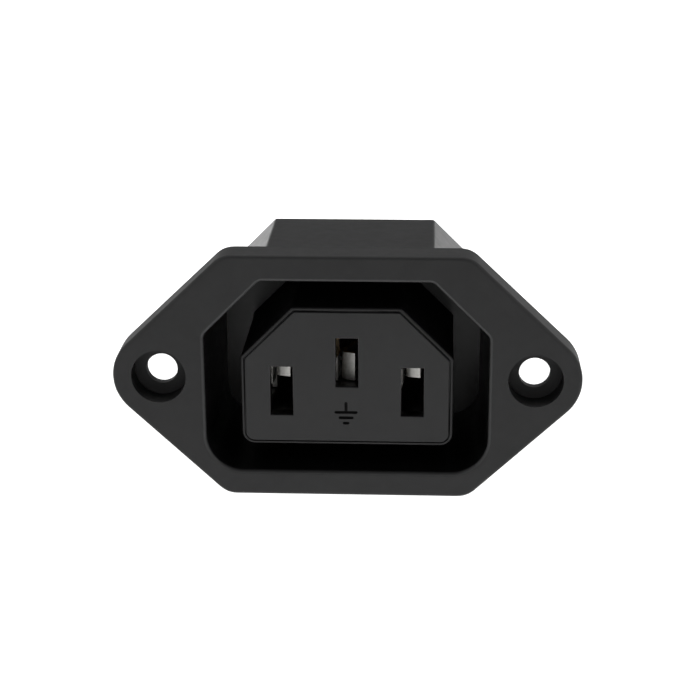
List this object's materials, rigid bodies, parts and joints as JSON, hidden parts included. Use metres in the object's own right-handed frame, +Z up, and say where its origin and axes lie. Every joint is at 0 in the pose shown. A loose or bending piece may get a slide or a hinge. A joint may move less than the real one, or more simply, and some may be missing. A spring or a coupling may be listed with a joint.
{
  "type": "panel-mount appliance outlet",
  "caption": "Black moulded panel-mount power outlet with a screw flange of pointed ends, a recess for the plug shroud, a slotted contact block and rear blade tabs.",
  "frame": {"origin": "midway between the two screw holes, on the flange's rear face, which lies against the panel", "axes": "+Z up with the cut corners of the recess at the top, the socket faces -Y, +X along the row of screw holes"},
  "size_m": [0.0498, 0.0293, 0.027],
  "materials": {
    "housing_plastic": "fine matte moulded texture",
    "carrier_plastic": "smooth matte moulding",
    "contact_metal": "bright tin plating",
    "cover_plastic": "plain matte moulding"
  },
  "bodies": {
    "root": {"housing": "housing_plastic", "contact_carrier": "carrier_plastic", "line_contact": "contact_metal", "neutral_contact": "contact_metal", "earth_contact": "contact_metal", "rear_cover": "cover_plastic"}
  },
  "joints": []
}
